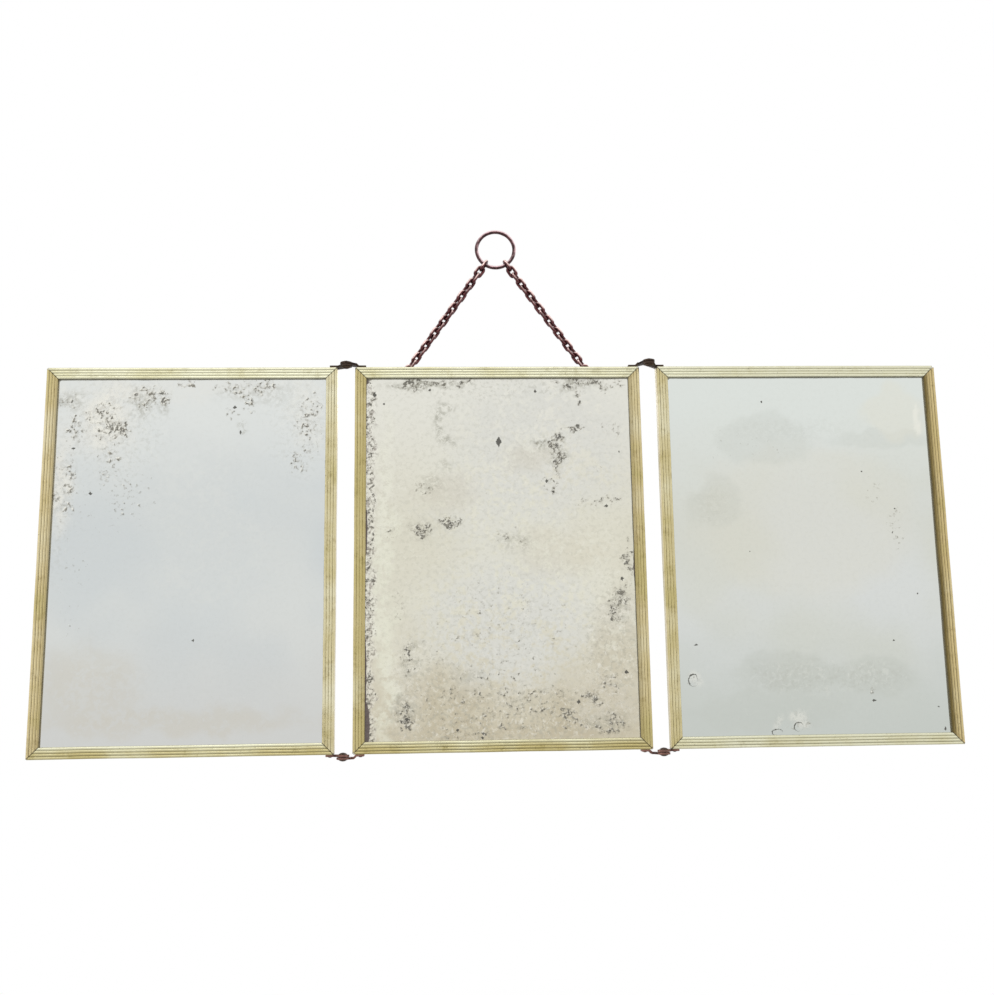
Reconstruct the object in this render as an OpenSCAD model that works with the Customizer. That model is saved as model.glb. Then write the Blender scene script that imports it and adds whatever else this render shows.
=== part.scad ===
// Wall-hung triptych mirror. Three brass-framed glasses stand side by side, riveted strap
// hinges join them at top and bottom, and two short chains hang them from one ring.
// The front faces -Y, +Z is up, +X is the viewer's right. The origin is the ring's centre.
// Millimetres.

/* [Panels] */
// Outer width of each framed glass
panel_w = 185; // [150:5:240]
// Outer height of each framed glass
panel_h = 245; // [180:5:320]
// Open gap between two neighbouring frames
panel_gap = 11.4; // [9.4:0.2:16]
// Air between two frames that are folded onto each other
fold_air = 0.8; // [0.6:0.1:2]

/* [Rails] */
// Width of a rail's reeded front face
rail_face = 7.2; // [6:0.2:12]
// Width of a rail's plain rear lip
rail_lip = 8; // [7:0.5:12]
// Thickness of the brass sheet that the rails are folded from
sheet_t = 0.6; // [0.4:0.1:1]
// Number of reeds side by side on a rail face
reeds = 4; // [2:1:6]
// Height of the reeds above the flat of the face
reed_rise = 0.4; // [0.2:0.05:0.6]
// Open line between two rails at a mitred corner
mitre_gap = 0.2; // [0.1:0.05:0.5]

/* [Glass and board] */
// Thickness of the mirror glass
glass_t = 3; // [2:0.5:5]
// Depth of the glass behind the flat of the rail face
glass_sink = 1.7; // [1.3:0.1:3]
// Thickness of the backing board
board_t = 1.2; // [0.8:0.1:3]
// Play between the edges of the glass and the rails
edge_play = 0.9; // [0.7:0.1:1.5]
// Play in front of the glass, and behind the board
face_play = 0.1; // [0.05:0.05:0.3]

/* [Hinges] */
// Thickness of the hinge straps
strap_t = 1.3; // [0.8:0.1:2]
// Width of a strap's foot across the frame edge
strap_w = 6; // [4:0.5:6.5]
// Radius of a strap's round end
strap_end_r = 3.9; // [2.8:0.1:4.2]
// Step in from the round end to the sides of the strap
strap_shoulder = 0.3; // [0.1:0.1:0.8]
// Length of a wing strap's foot along the frame
wing_foot = 5; // [4:0.5:9]
// Length of a centre strap's foot along the frame, with its step
centre_foot = 7; // [6.4:0.2:11]
// Setback of the centre strap's step from the frame's corner
step_setback = 0.3; // [0.1:0.1:1]
// Air between the two straps of a hinge
strap_air = 0.3; // [0.2:0.05:0.6]
// Diameter of the hinge rivets
rivet_d = 2.4; // [1.8:0.1:3]
// Running clearance between a hinge rivet and its holes, on the radius
rivet_fit = 0.08; // [0.03:0.01:0.1]
// Diameter of the hinge rivets' heads
rivet_head_d = 5.6; // [4:0.2:6]
// Height of the hinge rivets' heads
rivet_head_h = 1.1; // [0.6:0.1:1.5]
// Air under the wing strap, above the closing head of the rivet
rivet_air = 0.2; // [0.1:0.05:0.4]

/* [Small rivets] */
// Diameter of the rivets that fix the straps and the chain eyes
small_rivet_d = 1.6; // [1.2:0.1:2]
// Diameter of the small rivets' heads
small_head_d = 3; // [2.6:0.1:3.6]
// Height of the small rivets' heads
small_head_h = 0.6; // [0.4:0.1:1]
// Thickness of the tail peened over inside the rail
tail_h = 0.4; // [0.3:0.05:0.6]
// Clearance of a fixed rivet or wire in its hole, on the radius
snug_fit = 0.04; // [0.02:0.01:0.08]

/* [Chain] */
// Wire of the chain links
link_wire = 1.9; // [1.2:0.1:1.9]
// Outer width of a link
link_w = 6.2; // [6.2:0.1:6.6]
// Outer width of the first link, which hangs on the thicker ring
ring_link_w = 7; // [6.9:0.1:7.4]
// Length that each link adds to its strand
link_pitch = 5.25; // [5:0.05:8]
// Links of a strand that stand square to its end links, each between two of the others
cross_links = 9; // [6:1:12]
// Play between two linked links
link_play = 0.1; // [0.05:0.05:0.4]
// Roll about the strand that its middle links hang at
link_roll = 45; // [0:5:45]
// Most that a link is rolled against the one before it
roll_step = 15; // [9:1:15]
// Distance between the two chain eyes
eye_span = 126; // [90:2:140]

/* [Ring] */
// Outer diameter of the hanging ring
ring_d = 28; // [24:0.5:40]
// Wire of the hanging ring
ring_wire = 2.6; // [1.8:0.1:2.7]
// Play between the ring and the first link of a strand
ring_play = 0.3; // [0.2:0.05:0.4]

/* [Chain eyes] */
// Width of an eye plate
eye_plate_w = 18; // [16.4:0.2:30]
// Height of an eye plate
eye_plate_h = 6; // [4:0.5:7]
// Thickness of an eye plate
eye_plate_t = 0.8; // [0.6:0.1:1.6]
// Wire of the eye's loop
loop_wire = 1.4; // [1:0.1:1.6]
// Inside width of the loop
loop_in = 7; // [6:0.2:8]
// Bend radius at the loop's corners, to the middle of the wire
loop_bend = 1.5; // [1:0.1:2.5]
// Play between the loop and the last link of a strand
loop_play = 0.5; // [0.4:0.05:0.8]
// Air between the last link and the eye plate
link_air = 0.35; // [0.3:0.05:1]

/* [Hidden] */
$fn = 48;

LEFT = -1;
CENTRE = 0;
RIGHT = 1;
TOP = 1;
BOTTOM = -1;

// Frame section, front to back, from the middle of the frame's depth
frame_depth = reed_rise + glass_sink + glass_t + board_t + face_play + sheet_t;
frame_front = -frame_depth / 2;
frame_back = frame_depth / 2;
face_flat = frame_front + reed_rise;
glass_front = face_flat + glass_sink;
glass_back = glass_front + glass_t;
board_back = glass_back + board_t;
lip_front = frame_back - sheet_t;
reed_pitch = rail_face / reeds;
reed_r = (pow(reed_pitch / 2, 2) + pow(reed_rise, 2)) / (2 * reed_rise);
pocket_inset = sheet_t + edge_play;

// Rivet line of each hinge: the left wing folds flat onto the centre, the right onto both
pivot_x = (panel_w + panel_gap) / 2;
left_pivot_y = -(frame_depth + fold_air) / 2;
right_pivot_y = -(frame_depth + fold_air);

// Hinge strap levels above the frame's edge
upper_strap_z = strap_t + strap_air;
hinge_top_z = upper_strap_z + strap_t;
step_bend = strap_t * tan(22.5);
step_x = panel_gap / 2 + step_setback;
step_end_x = step_x + upper_strap_z + step_bend;
centre_foot_end = panel_gap / 2 + centre_foot;
wing_foot_mid = wing_foot / 2;
centre_foot_mid = (step_end_x + centre_foot_end) / 2 - panel_gap / 2;

// Chain and ring
ring_r = (ring_d - ring_wire) / 2;
link_centres = link_pitch + link_play + link_wire;
links = 2 * cross_links + 1;
first_bow = ring_r - (ring_wire + link_wire) / 2 - ring_play;
last_bow = first_bow + (links - 1) * link_pitch + link_centres;
strand = last_bow - (link_wire + loop_wire) / 2 - loop_play;
strand_angle = asin(eye_span / 2 / strand);

// Places of the panels and eyes below the ring
eye_rise = link_w / 2 + link_air;
loop_half = (loop_in + loop_wire) / 2;
eye_z = -strand * cos(strand_angle);
eye_drop = rail_lip - eye_plate_h / 2;
panel_y = -(frame_back + eye_plate_t + eye_rise);
panel_z = eye_z + eye_drop - panel_h / 2;
plate_rivet_x = eye_plate_w / 2 - small_head_d / 2 - 0.5;
over = 1; // how far a cutting body runs past what it cuts

brass = "#c6ba6e";
old_brass = "#5b4038";
copper = "#7a4440";
silvered = "#dfe0d8";
board_brown = "#8a6f52";

// ---- Frames ----

// Section of a folded rail: depth along x, height along y, outer edge at y = 0
module rail_section() {
    translate([face_flat, -rail_face]) square([sheet_t, rail_face]);
    translate([face_flat, -rail_face]) square([glass_sink - face_play, sheet_t]);
    translate([face_flat, -sheet_t]) square([frame_back - face_flat, sheet_t]);
    translate([lip_front, -rail_lip]) square([sheet_t, rail_lip]);
    intersection() {
        translate([frame_front, -rail_face]) square([reed_rise + sheet_t / 2, rail_face]);
        for (i = [0 : reeds - 1])
            translate([frame_front + reed_r, -(i + 0.5) * reed_pitch]) circle(r = reed_r);
    }
}

// A rail along X, centred, with its outer edge at z = 0 and both ends mitred
module mitred_rail(length) {
    half = (length - mitre_gap) / 2;
    deep = max(rail_face, rail_lip) + over;
    intersection() {
        rotate([90, 0, 90])
            linear_extrude(height = length, center = true) rail_section();
        rotate([90, 0, 0])
            linear_extrude(height = 2 * frame_depth, center = true)
                polygon([[-half - over, over], [half + over, over],
                         [half - deep, -deep], [deep - half, -deep]]);
    }
}

// Places a rail's outer edge on one side of a frame: turned about Y, at a distance
module on_side(panel, turn, reach) {
    translate([panel * (panel_w + panel_gap), panel_y, panel_z])
        rotate([0, turn, 0])
            translate([0, 0, reach]) children();
}

// Hole through a rail's outer web for a strap rivet, at x along the rail
module web_hole(x) {
    translate([x, 0, -sheet_t - over])
        cylinder(r = small_rivet_d / 2 + snug_fit, h = sheet_t + 2 * over);
}

// Distances of the strap rivets along a top or bottom rail, from the panel's middle
function rivet_spots(panel) = panel == CENTRE
    ? [centre_foot_mid - panel_w / 2, panel_w / 2 - centre_foot_mid]
    : [-panel * (panel_w / 2 - wing_foot_mid)];

// Holes through the rear lip of the centre top rail for the eye plates' rivets
module eye_holes() {
    for (side = [LEFT, RIGHT], spot = [LEFT, RIGHT])
        translate([side * eye_span / 2 + spot * plate_rivet_x, lip_front - over, -eye_drop])
            rotate([-90, 0, 0])
                cylinder(r = small_rivet_d / 2 + snug_fit, h = sheet_t + 2 * over);
}

module top_rail(panel) {
    color(brass)
        on_side(panel, 0, panel_h / 2)
            difference() {
                mitred_rail(panel_w);
                for (x = rivet_spots(panel)) web_hole(x);
                if (panel == CENTRE) eye_holes();
            }
}

module bottom_rail(panel) {
    color(brass)
        on_side(panel, 180, panel_h / 2)
            difference() {
                mitred_rail(panel_w);
                for (x = rivet_spots(panel)) web_hole(-x);
            }
}

module stile(panel, side) {
    color(brass)
        on_side(panel, side * 90, panel_w / 2) mitred_rail(panel_h);
}

module mirror_glass(panel) {
    color(silvered)
        on_side(panel, 0, 0)
            translate([pocket_inset - panel_w / 2, glass_front, pocket_inset - panel_h / 2])
                cube([panel_w - 2 * pocket_inset, glass_t, panel_h - 2 * pocket_inset]);
}

module backing_board(panel) {
    color(board_brown)
        on_side(panel, 0, 0)
            translate([pocket_inset - panel_w / 2, glass_back, pocket_inset - panel_h / 2])
                cube([panel_w - 2 * pocket_inset, board_t, panel_h - 2 * pocket_inset]);
}

// ---- Hinges ----

// Mirrors a piece drawn for the right side and the top edge to another side or edge
module to_side(side, end) {
    mirror([side < 0 ? 1 : 0, 0, 0])
        mirror([0, 0, end < 0 ? 1 : 0]) children();
}

// Places a hinge: x = 0 on the rivet line, +x towards the wing, z = 0 on the frame's edge
module on_hinge(side, end) {
    translate([side * pivot_x, panel_y, panel_z + end * panel_h / 2])
        to_side(side, end) children();
}

function pivot_y(side) = side == LEFT ? left_pivot_y : right_pivot_y;

// Solid of a strap's outline: round end on the rivet, slanting bar and foot on the frame
module strap_blank(side, foot_end, height) {
    reach = [panel_gap / 2, -pivot_y(side)];
    across = [-reach.y, reach.x] * (strap_end_r - strap_shoulder) / norm(reach);
    pin = [0, pivot_y(side)];
    union() {
        translate(pin) cylinder(r = strap_end_r, h = height);
        linear_extrude(height = height)
            polygon([pin + across, [panel_gap / 2, strap_w / 2], [foot_end, strap_w / 2],
                     [foot_end, -strap_w / 2], [panel_gap / 2, -strap_w / 2], pin - across]);
    }
}

module pivot_hole(side) {
    translate([0, pivot_y(side), -over])
        cylinder(r = rivet_d / 2 + rivet_fit, h = hinge_top_z + 2 * over);
}

module foot_hole(x) {
    translate([x, 0, -over])
        cylinder(r = small_rivet_d / 2 + snug_fit, h = strap_t + 2 * over);
}

module wing_strap(side, end) {
    color(old_brass)
        on_hinge(side, end)
            difference() {
                strap_blank(side, panel_gap / 2 + wing_foot, strap_t);
                pivot_hole(side);
                foot_hole(panel_gap / 2 + wing_foot_mid);
            }
}

// Side view of the centre strap: flat over the wing strap, stepped down to its foot
module stepped_side() {
    far = strap_end_r + over;
    polygon([[-far, upper_strap_z], [step_x, upper_strap_z], [step_x + upper_strap_z, 0],
             [centre_foot_end, 0], [centre_foot_end, strap_t], [step_end_x, strap_t],
             [step_x + step_bend, hinge_top_z], [-far, hinge_top_z]]);
}

module centre_strap(side, end) {
    depth = 2 * (frame_depth + fold_air + strap_end_r + over);
    color(old_brass)
        on_hinge(side, end)
            mirror([1, 0, 0])
                difference() {
                    intersection() {
                        strap_blank(side, centre_foot_end, hinge_top_z);
                        rotate([90, 0, 0])
                            linear_extrude(height = depth, center = true) stepped_side();
                    }
                    pivot_hole(side);
                    foot_hole(panel_gap / 2 + centre_foot_mid);
                }
}

// Low dome, flat side down at z = 0
module rivet_head(d, h) {
    ball = (pow(d / 2, 2) + pow(h, 2)) / (2 * h);
    intersection() {
        cylinder(d = d, h = h);
        translate([0, 0, h - ball]) sphere(r = ball, $fn = 64);
    }
}

module hinge_rivet(side, end) {
    color(old_brass)
        on_hinge(side, end)
            translate([0, pivot_y(side), 0]) {
                translate([0, 0, hinge_top_z]) rivet_head(rivet_head_d, rivet_head_h);
                translate([0, 0, -rivet_air]) cylinder(d = rivet_d, h = hinge_top_z + rivet_air);
                translate([0, 0, -rivet_air]) mirror([0, 0, 1])
                    rivet_head(rivet_head_d, rivet_head_h);
            }
}

// Rivet through a strap's foot and the rail's web, with its tail inside the rail
module foot_rivet() {
    translate([0, 0, strap_t]) rivet_head(small_head_d, small_head_h);
    translate([0, 0, -sheet_t]) cylinder(d = small_rivet_d, h = strap_t + sheet_t);
    translate([0, 0, -sheet_t - tail_h]) cylinder(d = small_head_d, h = tail_h);
}

module strap_rivets(panel) {
    color(old_brass)
        for (end = [TOP, BOTTOM], x = rivet_spots(panel))
            translate([panel * (panel_w + panel_gap) + x, panel_y, panel_z + end * panel_h / 2])
                to_side(RIGHT, end) foot_rivet();
}

// ---- Chain eyes on the back of the centre top rail ----

// Places an eye: origin on the back of the rail's rear lip, +Z towards the wall, +Y up
module on_eye(side) {
    translate([side * eye_span / 2, panel_y + frame_back, eye_z])
        rotate([-90, 0, 0]) mirror([0, 1, 0]) children();
}

module eye_plate(side) {
    color(brass)
        on_eye(side)
            difference() {
                translate([-eye_plate_w / 2, -eye_plate_h / 2, 0])
                    cube([eye_plate_w, eye_plate_h, eye_plate_t]);
                for (spot = [LEFT, RIGHT]) {
                    translate([spot * plate_rivet_x, 0, -over])
                        cylinder(r = small_rivet_d / 2 + snug_fit, h = eye_plate_t + 2 * over);
                    translate([spot * loop_half, 0, -over])
                        cylinder(r = loop_wire / 2 + snug_fit, h = eye_plate_t + 2 * over);
                }
            }
}

// Wire loop with both legs in the plate, which the last link hangs the frame by
module eye_loop(side) {
    top = eye_plate_t + eye_rise;
    bar = loop_half - loop_bend;
    color(brass)
        on_eye(side) {
            translate([-bar, 0, top]) rotate([0, 90, 0]) cylinder(d = loop_wire, h = 2 * bar);
            for (spot = [LEFT, RIGHT]) {
                translate([spot * loop_half, 0, 0]) cylinder(d = loop_wire, h = top - loop_bend);
                to_side(spot, TOP)
                    translate([bar, 0, top - loop_bend])
                        rotate([90, 0, 0])
                            rotate_extrude(angle = 90)
                                translate([loop_bend, 0]) circle(d = loop_wire);
            }
        }
}

module eye_rivets() {
    color(brass)
        for (side = [LEFT, RIGHT], spot = [LEFT, RIGHT])
            on_eye(side)
                translate([spot * plate_rivet_x, 0, -sheet_t]) {
                    cylinder(d = small_rivet_d, h = sheet_t + eye_plate_t);
                    translate([0, 0, sheet_t + eye_plate_t])
                        rivet_head(small_head_d, small_head_h);
                }
}

// ---- Chain and ring ----

// Oval link along Z with its width along X
module link(width) {
    bow_r = (width - link_wire) / 2;
    straight = link_centres - 2 * bow_r;
    for (turn = [0, 180])
        rotate([0, turn, 0]) {
            translate([bow_r, 0, -straight / 2]) cylinder(d = link_wire, h = straight);
            translate([0, 0, straight / 2])
                rotate([90, 0, 0])
                    rotate_extrude(angle = 180) translate([bow_r, 0]) circle(d = link_wire);
        }
}

// Turn of a link about its strand: the end links are edge on, and the roll eases in from them
function link_turn(i) =
    (i % 2 == 0 ? 90 : 0) + min(link_roll, roll_step * min(i, links - 1 - i));

module chain(side) {
    color(copper)
        rotate([0, -side * strand_angle, 0])
            for (i = [0 : links - 1])
                translate([0, 0, -(first_bow + i * link_pitch + link_centres / 2)])
                    rotate([0, 0, -side * link_turn(i)]) link(i == 0 ? ring_link_w : link_w);
}

module hanging_ring() {
    color(copper)
        rotate([90, 0, 0])
            rotate_extrude() translate([ring_r, 0]) circle(d = ring_wire);
}

top_rail(LEFT);  // left_top_rail
bottom_rail(LEFT);  // left_bottom_rail
stile(LEFT, LEFT);  // left_outer_stile
stile(LEFT, RIGHT);  // left_inner_stile
mirror_glass(LEFT);  // left_mirror
backing_board(LEFT);  // left_backing_board
top_rail(CENTRE);  // centre_top_rail
bottom_rail(CENTRE);  // centre_bottom_rail
stile(CENTRE, LEFT);  // centre_left_stile
stile(CENTRE, RIGHT);  // centre_right_stile
mirror_glass(CENTRE);  // centre_mirror
backing_board(CENTRE);  // centre_backing_board
top_rail(RIGHT);  // right_top_rail
bottom_rail(RIGHT);  // right_bottom_rail
stile(RIGHT, LEFT);  // right_inner_stile
stile(RIGHT, RIGHT);  // right_outer_stile
mirror_glass(RIGHT);  // right_mirror
backing_board(RIGHT);  // right_backing_board
centre_strap(LEFT, TOP);  // top_left_centre_strap
wing_strap(LEFT, TOP);  // top_left_wing_strap
hinge_rivet(LEFT, TOP);  // top_left_hinge_rivet
centre_strap(LEFT, BOTTOM);  // bottom_left_centre_strap
wing_strap(LEFT, BOTTOM);  // bottom_left_wing_strap
hinge_rivet(LEFT, BOTTOM);  // bottom_left_hinge_rivet
centre_strap(RIGHT, TOP);  // top_right_centre_strap
wing_strap(RIGHT, TOP);  // top_right_wing_strap
hinge_rivet(RIGHT, TOP);  // top_right_hinge_rivet
centre_strap(RIGHT, BOTTOM);  // bottom_right_centre_strap
wing_strap(RIGHT, BOTTOM);  // bottom_right_wing_strap
hinge_rivet(RIGHT, BOTTOM);  // bottom_right_hinge_rivet
strap_rivets(LEFT);  // left_strap_rivets
strap_rivets(CENTRE);  // centre_strap_rivets
strap_rivets(RIGHT);  // right_strap_rivets
eye_plate(LEFT);  // left_eye_plate
eye_plate(RIGHT);  // right_eye_plate
eye_loop(LEFT);  // left_eye_loop
eye_loop(RIGHT);  // right_eye_loop
eye_rivets();
chain(LEFT);  // left_chain
chain(RIGHT);  // right_chain
hanging_ring();
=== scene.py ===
import math
import random

import bmesh
import bpy
import numpy
from mathutils import Matrix, Vector, noise


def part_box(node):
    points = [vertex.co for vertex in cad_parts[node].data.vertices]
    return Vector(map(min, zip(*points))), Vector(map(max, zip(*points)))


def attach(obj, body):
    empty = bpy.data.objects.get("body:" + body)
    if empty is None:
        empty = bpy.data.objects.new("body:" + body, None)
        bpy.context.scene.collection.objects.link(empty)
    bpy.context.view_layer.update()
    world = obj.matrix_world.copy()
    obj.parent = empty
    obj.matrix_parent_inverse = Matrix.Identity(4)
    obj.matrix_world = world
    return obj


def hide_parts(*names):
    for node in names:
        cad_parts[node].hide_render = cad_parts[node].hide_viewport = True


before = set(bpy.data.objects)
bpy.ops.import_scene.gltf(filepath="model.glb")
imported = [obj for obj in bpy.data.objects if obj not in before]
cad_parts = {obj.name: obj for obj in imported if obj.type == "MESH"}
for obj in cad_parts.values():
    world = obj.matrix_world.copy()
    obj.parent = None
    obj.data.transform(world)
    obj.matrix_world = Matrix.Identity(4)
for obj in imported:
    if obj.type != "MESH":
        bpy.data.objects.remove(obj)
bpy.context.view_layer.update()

# ---- Rails ----
# Twelve lengths of channel folded from thin brass sheet, with four reeds rolled along the face.
# They are cut to 45 degrees and soldered at the corners. Rubbing has left the reeds pale, and
# grime sits in the mitres. The dark in the grooves and on the wall that goes down to the glass
# is grime with painted shade, and more light is painted in: the top rails paler than the
# others, the inner reed darker where it faces away from the light and paler where it faces it,
# and a painted highlight with the pink of bare brass on the outer edge.

MM = 0.001
UP = Vector((0, 0, 1))
RIGHT = Vector((1, 0, 0))
BACK = Vector((0, 1, 0))

FACE = 7.2 * MM
LIP = 8 * MM
SHEET = 0.6 * MM
REEDS = 4
REED_RISE = 0.4 * MM
# Depths are from the reeds' crests: the inner edge is turned in this far, close to the glass
WALL_END = 2.0 * MM
FACE_BACK = REED_RISE + SHEET
ON_FACE = REED_RISE + 0.1 * MM
CUT_EDGE = 0.1 * MM
RAIL_STEP = 3 * MM
ARC_STEPS = 8
# Extra steps close to the mitres, and how far from them the sheet can't bow
MITRE_STEPS = (0.4 * MM, 1.2 * MM)
HELD = 12 * MM
BOW = 0.16 * MM
BUCKLE = 0.10 * MM
WORN_WIDTH = 1.6 * MM
DENTS = 7
# How much of the outer edge's pink, bare brass with a painted highlight, the web behind it shows
WEB_ROSE = 0.15


def srgb(code):
    """A colour written #rrggbb, in the linear light that shaders use."""
    parts = [int(code[i:i + 2], 16) / 255 for i in (1, 3, 5)]
    linear = [c / 12.92 if c <= 0.04045 else ((c + 0.055) / 1.055) ** 2.4 for c in parts]
    return (*linear, 1.0)


def feed(node, values):
    """Sets a node's sockets to values, or links them to other sockets."""
    for name, value in values.items():
        if isinstance(value, Socket):
            value.tree.links.new(value.out, node.inputs[name])
        else:
            node.inputs[name].default_value = value


class Socket:
    """One output in a node tree. Sums on it add Math nodes, and node() adds any other node."""

    def __init__(self, tree, out=None):
        self.tree = tree
        self.out = out

    def node(self, kind, settings=None, values=None, out=0):
        """Adds a node of this kind: its settings first, then its sockets."""
        made = self.tree.nodes.new(kind)
        for name, value in (settings or {}).items():
            setattr(made, name, value)
        feed(made, values or {})
        return Socket(self.tree, made.outputs[out])

    def math(self, operation, *terms):
        return self.node("ShaderNodeMath", {"operation": operation}, dict(enumerate(terms)))

    def vector(self, operation, *terms, out=0):
        return self.node("ShaderNodeVectorMath", {"operation": operation},
                         dict(enumerate(terms)), out)

    def joined(self, **axes):
        """A vector of the axes given, with 0 for the others."""
        return self.node("ShaderNodeCombineXYZ", {}, axes)

    def split(self, *axes):
        """These axes of the vector."""
        parts = self.node("ShaderNodeSeparateXYZ", {}, {0: self}).out.node
        return [Socket(self.tree, parts.outputs[axis]) for axis in axes]

    def marked(self, label, out="Fac"):
        """What the mesh carries under this label."""
        return self.node("ShaderNodeAttribute", {"attribute_name": label}, {}, out)

    def on_piece(self):
        """The place on the piece, in metres."""
        return self.node("ShaderNodeTexCoord", {}, {}, "Object")

    def __add__(self, other):
        return self.math("ADD", self, other)

    def __sub__(self, other):
        return self.math("SUBTRACT", self, other)

    def __rsub__(self, other):
        return self.math("SUBTRACT", other, self)

    def __mul__(self, other):
        return self.math("MULTIPLY", self, other)

    def __truediv__(self, other):
        return self.math("DIVIDE", self, other)

    def __pow__(self, other):
        return self.math("POWER", self, other)

    __radd__ = __add__
    __rmul__ = __mul__

    def size(self):
        return self.math("ABSOLUTE", self)

    def most(self, other):
        return self.math("MAXIMUM", self, other)

    def least(self, other):
        return self.math("MINIMUM", self, other)

    def ease(self, low, high):
        """Goes smoothly from 0 at low to 1 at high, or down where low is the larger."""
        return self.node("ShaderNodeMapRange", {"interpolation_type": "SMOOTHSTEP"},
                         {"Value": self, "From Min": low, "From Max": high})

    def tint(self, first, second):
        """The first colour where this is 0, the second where it is 1."""
        return self.node("ShaderNodeMix", {"data_type": "RGBA"}, {0: self, 6: first, 7: second}, 2)

    def scaled(self, scale, move=(0, 0, 0)):
        """This vector times a scale, then moved."""
        return self.node("ShaderNodeMapping", {},
                         {"Vector": self, "Scale": scale, "Location": move})

    def grain(self, scale, detail=2.0, rough=0.5, spread=0.0, out="Fac"):
        """Cloudy noise on this vector."""
        return self.node("ShaderNodeTexNoise", {}, {
            "Vector": self, "Scale": scale, "Detail": detail, "Roughness": rough,
            "Distortion": spread}, out)

    def relief(self, depth, strength=1.0):
        """Normal of a surface that stands this high, in metres at height 1."""
        return self.node("ShaderNodeBump", {}, {
            "Height": self, "Distance": depth, "Strength": strength})


def new_finish(name):
    """An empty material: the material, its shader, and a socket to build from."""
    material = bpy.data.materials.new(name)
    material.use_nodes = True
    tree = material.node_tree
    return material, tree.nodes["Principled BSDF"], Socket(tree)


CREAM = srgb("#e0dfc4")
STRAW = srgb("#cbc596")
GOLD = srgb("#b2a269")
OLIVE = srgb("#968a50")
UMBER = srgb("#6e603a")
# Pink of bare brass, also a painted highlight on the rails' outer edges
ROSE = srgb("#dcb994")
# Grime in the mitres and specks, and grime with painted shade in the grooves and on the wall down
# to the glass
GRIME_AND_SHADE = srgb("#3a3323")
# What each point of a rail carries: how deep in a groove it is, whether inside the folds or on
# the outer edge, how far it is from the mitre, and how far across the face
RAIL_MARKS = ("groove", "inside", "outside", "mitre", "inward")


def rail_brass(name, shine, lines, rosy, deep):
    """Reeded brass, with light and shade painted in. shine is how pale it is, from rubbing and from
    painted light, lines how dark its grooves are with grime and painted shade, rosy how much of the
    pink of bare brass and a painted highlight it shows, and deep how much darker its inner reed is
    with grime and painted shade, or paler with a painted highlight where it is below 0."""
    material, shader, start = new_finish(name)
    along = start.node("ShaderNodeUVMap", {"uv_map": "rail"})
    place = start.on_piece()
    groove, inside, outside, mitre, inward = [start.marked(label) for label in RAIL_MARKS]

    cloud = place.grain(28, 4, 0.6)
    drawn = along.scaled((30, 5200, 1)).grain(1, 3, 0.7)
    speck = place.grain(900, 2, 0.6).ease(0.675, 0.735)
    stain = place.grain(140, 5, 0.7).ease(0.50, 0.74)

    # Paleness from rubbing and, through shine, painted light that makes the top rails paler than
    # the rest
    rubbed = (cloud * 1.1 + drawn * 0.35 + (shine - 0.72)).least(1.0).most(0.0)
    body = rubbed.tint(GOLD, STRAW)
    crest = rubbed.ease(0.35, 1.0).tint(body, CREAM)
    dulled = (stain * (0.55 - 0.35 * shine)).tint(crest, OLIVE)
    # Painted highlight and the pink of bare brass, mostly on the outer edge
    edge = ((outside * 0.75 + 0.25) * rosy * cloud.ease(0.28, 0.50)).tint(dulled, ROSE)
    # Painted shade with grime on the inner reed, or a painted highlight in cream where deep is
    # below 0
    inner = (inward.ease(0.45, 1.0) * abs(deep) * (0.5 + cloud)).least(1.0)
    edge = inner.tint(edge, UMBER if deep > 0 else CREAM)
    # Grime and painted shade in the grooves, darker towards the outer edge
    shadow = groove * (1.55 - inward * 1.1) * lines * (0.45 + cloud)
    lined = shadow.least(0.92).tint(edge, GRIME_AND_SHADE)
    corner = mitre.ease(0.45 * MM, 0.10 * MM) * 0.6
    # Grime in the mitres and specks, and grime with painted shade on the wall that goes down to the
    # glass
    grime_and_wall_shade = corner.most(inside * inside * 0.42).most(speck * 0.7)
    colour = grime_and_wall_shade.tint(lined, GRIME_AND_SHADE)

    feed(shader, {
        "Base Color": colour,
        "Metallic": 1 - grime_and_wall_shade * 0.5 - shadow.least(1.0) * 0.3,
        "Roughness": (0.30 + stain * 0.22 + groove * 0.15 + grime_and_wall_shade * 0.25).least(0.85),
        "Normal": (drawn * 0.6 + place.grain(700, 2) * 0.5 - speck).relief(0.03 * MM, 0.6),
    })
    return material


def eased(corners):
    """The corners (inward, depth, radius) as points, three to a corner that has a radius."""
    points = []
    for i, (inward, depth, radius) in enumerate(corners):
        corner = Vector((inward, depth))
        if radius == 0:
            points.append(corner)
            continue
        before = Vector(corners[i - 1][:2]) - corner
        after = Vector(corners[(i + 1) % len(corners)][:2]) - corner
        first = corner + before.normalized() * radius
        last = corner + after.normalized() * radius
        points += [first, (first + last + 2 * corner) / 4, last]
    return points


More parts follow.
